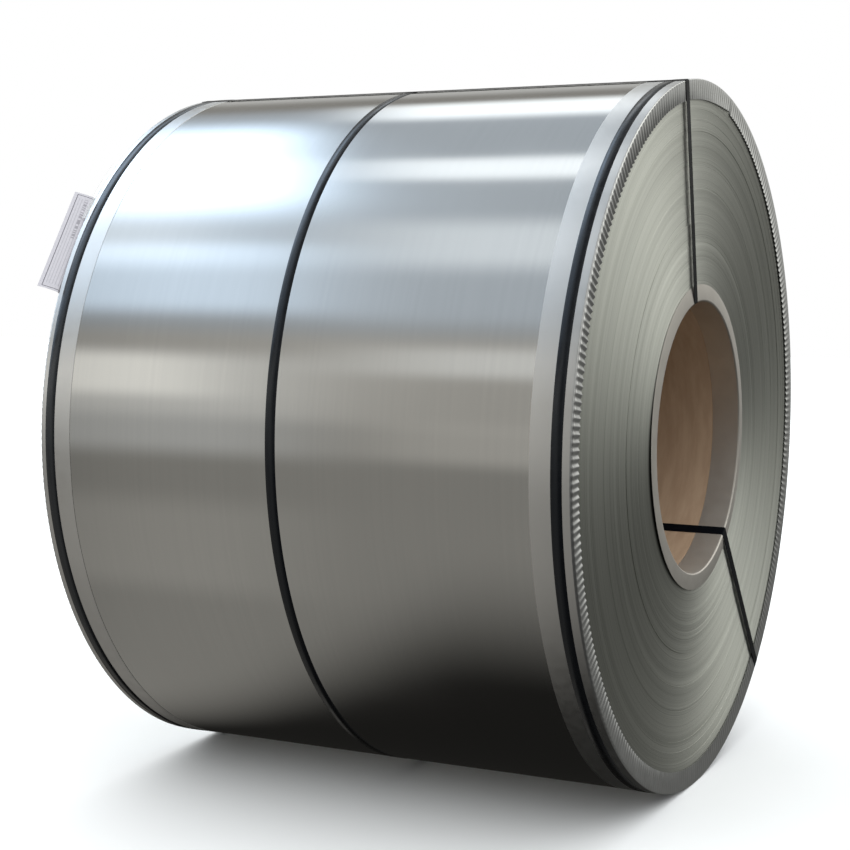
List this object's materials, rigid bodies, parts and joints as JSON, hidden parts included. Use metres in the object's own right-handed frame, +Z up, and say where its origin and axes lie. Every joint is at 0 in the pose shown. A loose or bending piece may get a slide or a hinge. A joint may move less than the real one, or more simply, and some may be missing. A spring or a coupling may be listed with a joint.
{
  "type": "steel coil",
  "caption": "Large wound coil of bright galvanised steel strip lying on its side, with fluted edge protectors, bore rings, a fibre liner and black steel straps.",
  "frame": {"origin": "the middle of the bore, on its axis, half way along the strip's width", "axes": "+X along the bore towards the end that the picture shows, +Z up, -Y towards the viewer; the coil lies on its side with its axis level"},
  "size_m": [1.0441, 1.3058, 1.306],
  "materials": {
    "coil_steel": "bright galvanised, near-mirror on the round, satin on the ends",
    "protector_sheet": "matt galvanised",
    "ring_sheet": "smooth galvanised, satin",
    "liner_fibre": "plain brown fibreboard",
    "strap_steel": "black, semi-gloss",
    "seal_steel": "black, semi-gloss",
    "card_paper": "matt white card"
  },
  "bodies": {
    "root": {"steel_coil": "coil_steel", "bore_liner": "liner_fibre", "outer_edge_protector_right": "protector_sheet", "outer_edge_protector_left": "protector_sheet", "inner_edge_protector_right": "ring_sheet", "inner_edge_protector_left": "ring_sheet", "girth_strap_left": "strap_steel", "girth_strap_middle": "strap_steel", "girth_strap_right": "strap_steel", "eye_strap_top": "strap_steel", "eye_strap_lower": "strap_steel", "girth_seal_left": "seal_steel", "girth_seal_middle": "seal_steel", "girth_seal_right": "seal_steel", "eye_seal_top": "seal_steel", "eye_seal_lower": "seal_steel", "label_card": "card_paper"}
  },
  "joints": []
}
